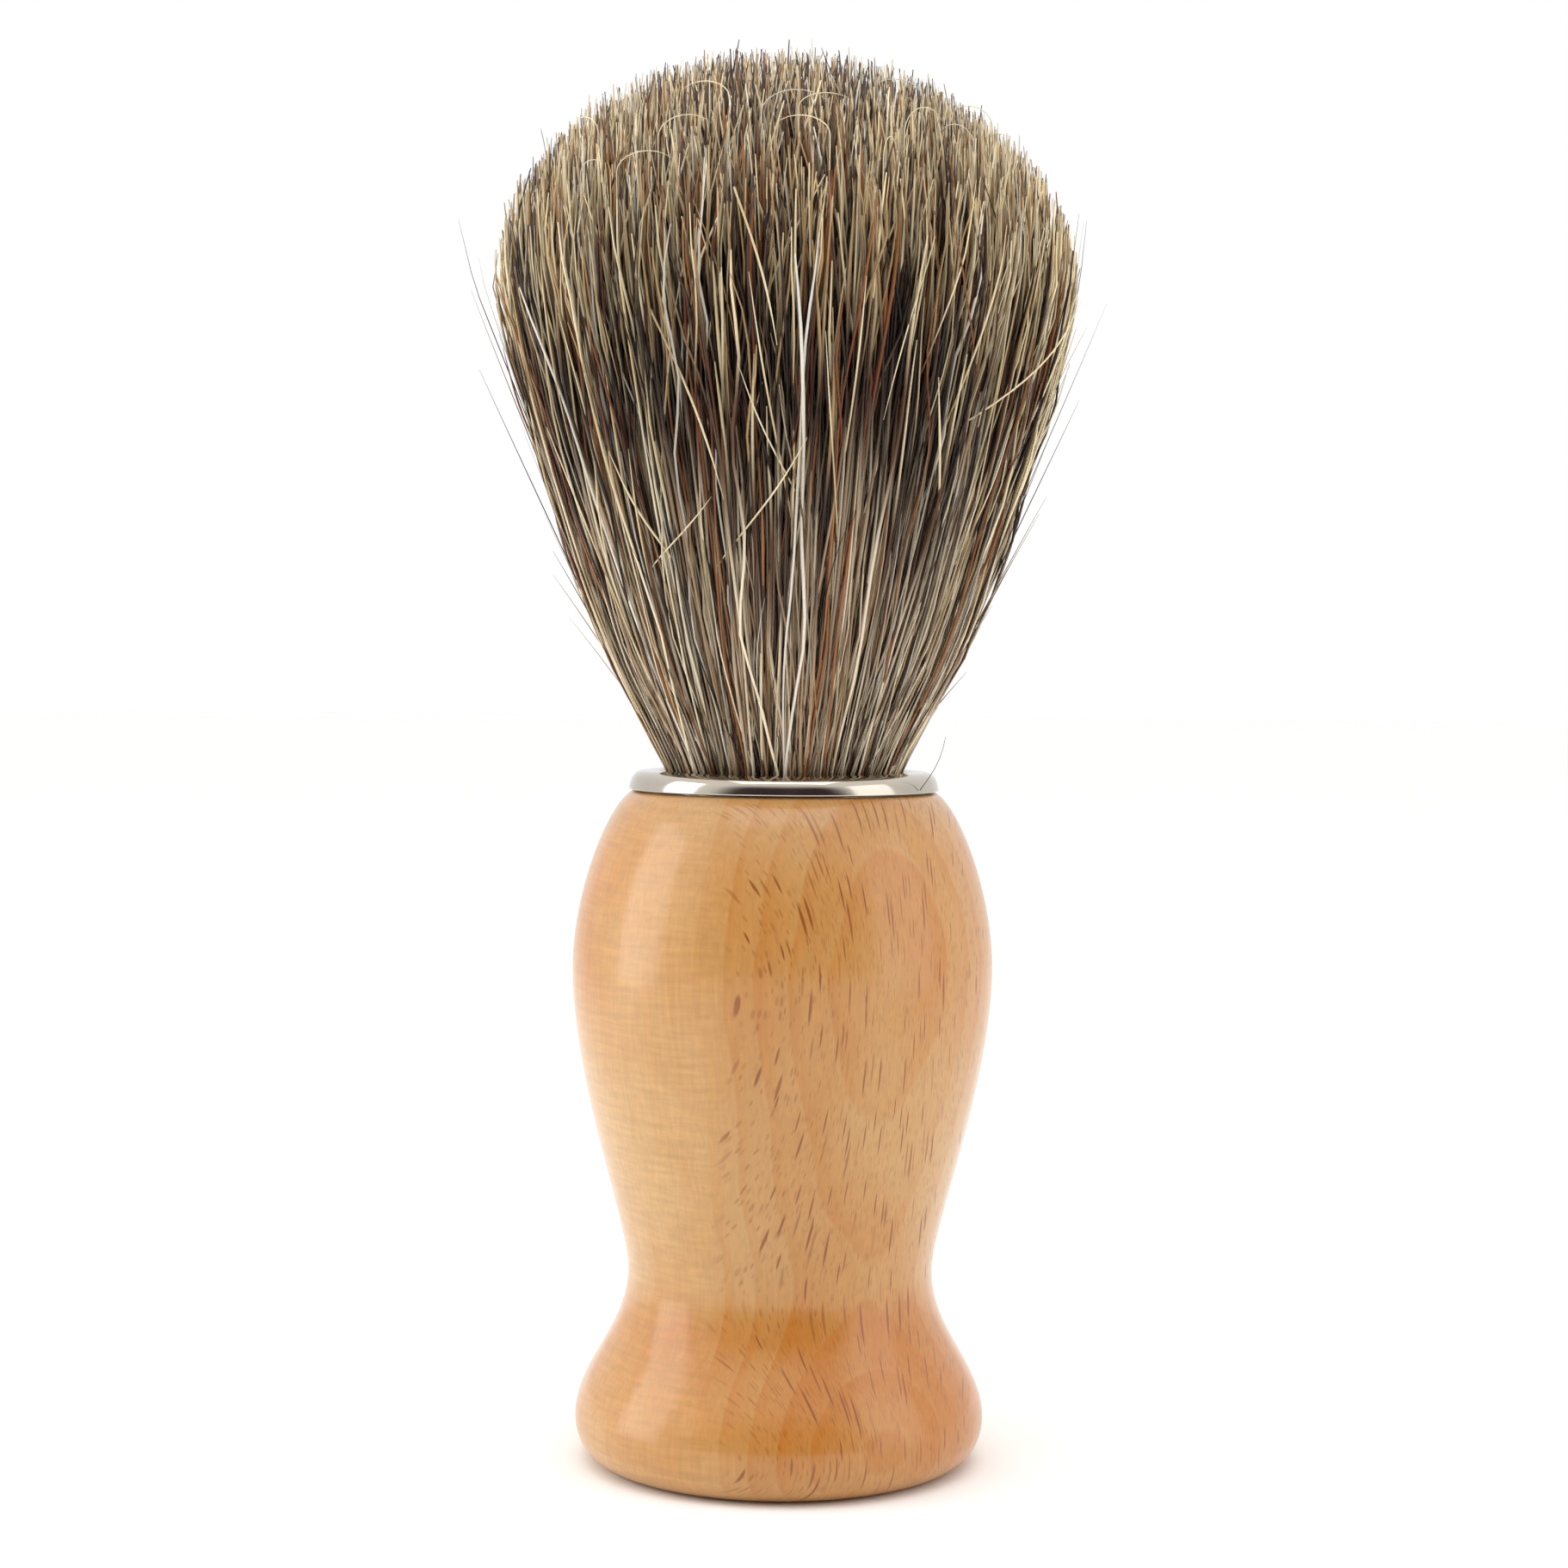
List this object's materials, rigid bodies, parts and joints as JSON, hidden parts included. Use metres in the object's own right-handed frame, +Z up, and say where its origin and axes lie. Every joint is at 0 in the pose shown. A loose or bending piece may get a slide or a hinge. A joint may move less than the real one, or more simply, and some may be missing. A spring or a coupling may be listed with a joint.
{
  "type": "shaving brush",
  "caption": "Free-standing shaving brush: a waisted, turned wooden handle, a domed plated collar and a bulb-shaped knot of mixed bristle that bends and springs back.",
  "frame": {"origin": "centre of the flat foot that the brush stands on", "axes": "+Z up along the brush's axis, from the foot to the tip of the hair; the brush is round about it, so +X and +Y are free"},
  "size_m": [0.0462, 0.0462, 0.1096],
  "materials": {
    "lacquered_beech": "clear satin lacquer",
    "nickel_plate": "bright nickel plate",
    "cured_adhesive": "dull",
    "cast_resin": "cast, glossy",
    "binding_thread": "waxed thread",
    "bristle": "mixed natural bristle, cream, grey, brown and black"
  },
  "bodies": {
    "grip": {"handle": "lacquered_beech", "collar": "nickel_plate", "socket_adhesive": "cured_adhesive", "knot_plug": "cast_resin", "root_binding": "binding_thread", "hair_roots": "bristle"},
    "bend": {"hair_neck": "bristle"},
    "knot": {"hair_core": "bristle", "hair_tuft_01": "bristle", "hair_tuft_02": "bristle", "hair_tuft_03": "bristle", "hair_tuft_04": "bristle", "hair_tuft_05": "bristle", "hair_tuft_06": "bristle", "hair_tuft_07": "bristle", "hair_tuft_08": "bristle", "hair_tuft_09": "bristle", "hair_tuft_10": "bristle", "hair_tuft_11": "bristle", "hair_tuft_12": "bristle"}
  },
  "joints": [
    {"name": "bend_front_back", "type": "hinge", "parent": "grip", "child": "bend", "pos_m": [0, 0, 0.059], "axis": [1, 0, 0], "range_deg": [-20, 20], "stiffness_Nm_per_rad": 0.15},
    {"name": "bend_side_to_side", "type": "hinge", "parent": "bend", "child": "knot", "pos_m": [0, 0, 0.059], "axis": [0, 1, 0], "range_deg": [-20, 20], "stiffness_Nm_per_rad": 0.15}
  ]
}
